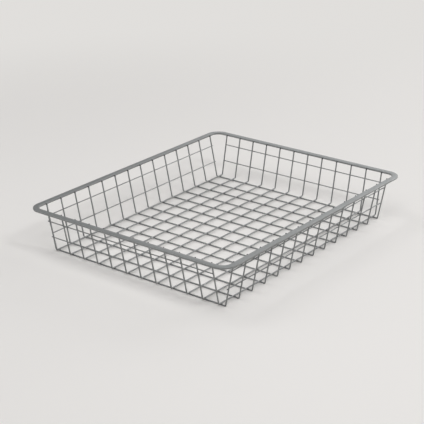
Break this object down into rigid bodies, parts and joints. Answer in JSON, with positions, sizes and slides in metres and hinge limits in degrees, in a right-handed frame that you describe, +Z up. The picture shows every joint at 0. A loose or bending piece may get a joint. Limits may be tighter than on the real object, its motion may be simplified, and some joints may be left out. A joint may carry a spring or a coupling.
{
  "type": "wire basket",
  "caption": "Shallow rectangular drawer basket of folded and welded steel wire mesh, with outward-leaning walls and a flat rim strip that slides on runners.",
  "frame": {"origin": "centre of the footprint, on the surface the basket stands on", "axes": "+Z up, +Y along the basket's long side from front to back, +X across it to the right"},
  "size_m": [0.4426, 0.5382, 0.085],
  "materials": {
    "rim_paint": "grey powder coat, satin, fine orange peel",
    "grid_wire_paint": "grey powder coat, satin, fine orange peel",
    "wall_wire_paint": "grey powder coat, satin, fine orange peel"
  },
  "bodies": {
    "root": {"rim": "rim_paint", "cross_wire_01": "grid_wire_paint", "cross_wire_02": "grid_wire_paint", "cross_wire_03": "grid_wire_paint", "cross_wire_04": "grid_wire_paint", "cross_wire_05": "grid_wire_paint", "cross_wire_06": "grid_wire_paint", "cross_wire_07": "grid_wire_paint", "cross_wire_08": "grid_wire_paint", "cross_wire_09": "grid_wire_paint", "cross_wire_10": "grid_wire_paint", "cross_wire_11": "grid_wire_paint", "cross_wire_12": "grid_wire_paint", "cross_wire_13": "grid_wire_paint", "cross_wire_14": "grid_wire_paint", "long_wire_01": "grid_wire_paint", "long_wire_02": "grid_wire_paint", "long_wire_03": "grid_wire_paint", "long_wire_04": "grid_wire_paint", "long_wire_05": "grid_wire_paint", "long_wire_06": "grid_wire_paint", "long_wire_07": "grid_wire_paint", "long_wire_08": "grid_wire_paint", "long_wire_09": "grid_wire_paint", "long_wire_10": "grid_wire_paint", "long_wire_11": "grid_wire_paint", "long_wire_12": "grid_wire_paint", "left_wall_wire_lower": "wall_wire_paint", "left_wall_wire_upper": "wall_wire_paint", "right_wall_wire_lower": "wall_wire_paint", "right_wall_wire_upper": "wall_wire_paint", "front_wall_wire_lower": "wall_wire_paint", "front_wall_wire_upper": "wall_wire_paint", "back_wall_wire_lower": "wall_wire_paint", "back_wall_wire_upper": "wall_wire_paint"}
  },
  "joints": []
}
